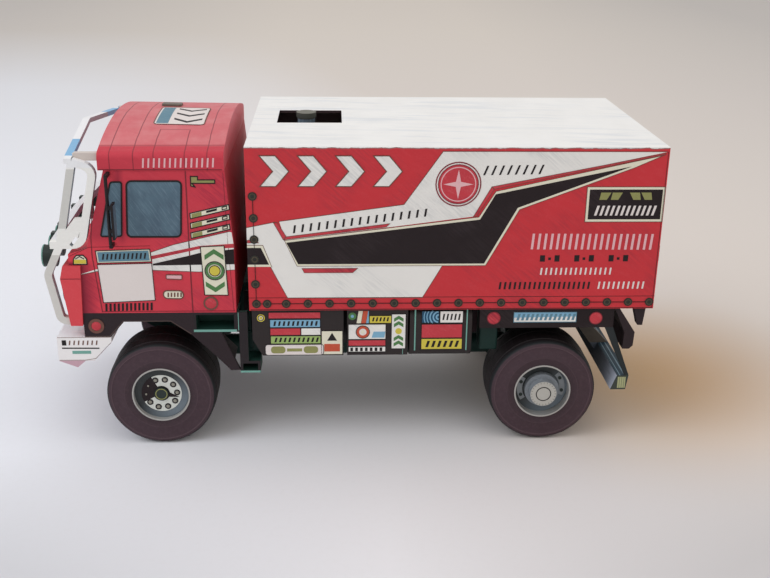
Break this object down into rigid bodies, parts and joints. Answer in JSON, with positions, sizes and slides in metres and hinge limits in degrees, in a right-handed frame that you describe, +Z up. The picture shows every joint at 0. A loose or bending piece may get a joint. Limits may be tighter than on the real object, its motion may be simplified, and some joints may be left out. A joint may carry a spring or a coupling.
{
  "type": "card model of a rally truck",
  "caption": "Folded, painted card model of a cab-over rally truck: hollow box body with roof hatch, front guard with lamps, side lockers, fenders and wheels that turn.",
  "frame": {"origin": "on the ground, under the middle of the whole length and width", "axes": "+X to the truck's left side, +Y to its tail, +Z up; the nose looks towards -Y"},
  "size_m": [0.0892, 0.187, 0.0982],
  "materials": {
    "cover_card": "painted card, satin",
    "cab_card": "painted card, satin",
    "brown_board": "bare board",
    "grey_card": "painted card, matt",
    "white_card": "painted card, satin",
    "black_card": "painted card, matt",
    "green_card": "painted card, matt",
    "locker_card": "painted card with printed panels",
    "tyre_card": "painted card, matt",
    "rim_card": "painted card, satin"
  },
  "bodies": {
    "truck": {"axle_front": "green_card", "axle_rear": "green_card", "backbone_tube": "green_card", "battery_box_left": "locker_card", "battery_box_right": "locker_card", "bull_bar": "white_card", "cab_floor": "brown_board", "cab_roof": "cab_card", "cab_shell": "cab_card", "cargo_cover": "cover_card", "cargo_floor": "brown_board", "chassis_beam": "green_card", "corner_box_left": "cab_card", "corner_box_right": "cab_card", "fender_left": "black_card", "fender_right": "black_card", "front_bumper": "white_card", "fuel_tank_left": "locker_card", "fuel_tank_right": "locker_card", "intake_cap": "grey_card", "intake_stack": "grey_card", "locker_left": "locker_card", "locker_right": "locker_card", "mirror_left": "black_card", "mirror_right": "black_card", "mudguard_left": "black_card", "mudguard_right": "black_card", "nose_panel": "grey_card", "rear_valance": "black_card", "side_rail_left": "black_card", "side_rail_right": "black_card", "spot_lamps": "black_card", "springs_front": "green_card", "springs_rear": "green_card", "step_left": "black_card", "step_right": "black_card", "tail_tongues": "black_card", "underrun_bar": "grey_card"},
    "front_left_wheel": {"tyre_front_left": "tyre_card", "wheel_front_left": "rim_card", "hub_front_left": "black_card"},
    "front_right_wheel": {"tyre_front_right": "tyre_card", "wheel_front_right": "rim_card", "hub_front_right": "black_card"},
    "rear_left_wheel": {"tyre_rear_left": "tyre_card", "wheel_rear_left": "rim_card", "hub_rear_left": "grey_card"},
    "rear_right_wheel": {"tyre_rear_right": "tyre_card", "wheel_rear_right": "rim_card", "hub_rear_right": "grey_card"}
  },
  "joints": [
    {"name": "front_left_roll", "type": "hinge", "parent": "truck", "child": "front_left_wheel", "pos_m": [0.0305, -0.0576, 0.0169], "axis": [1, 0, 0], "continuous": true},
    {"name": "front_right_roll", "type": "hinge", "parent": "truck", "child": "front_right_wheel", "pos_m": [-0.0305, -0.0576, 0.0169], "axis": [1, 0, 0], "continuous": true},
    {"name": "rear_left_roll", "type": "hinge", "parent": "truck", "child": "rear_left_wheel", "pos_m": [0.0305, 0.0611, 0.0169], "axis": [1, 0, 0], "continuous": true},
    {"name": "rear_right_roll", "type": "hinge", "parent": "truck", "child": "rear_right_wheel", "pos_m": [-0.0305, 0.0611, 0.0169], "axis": [1, 0, 0], "continuous": true}
  ]
}
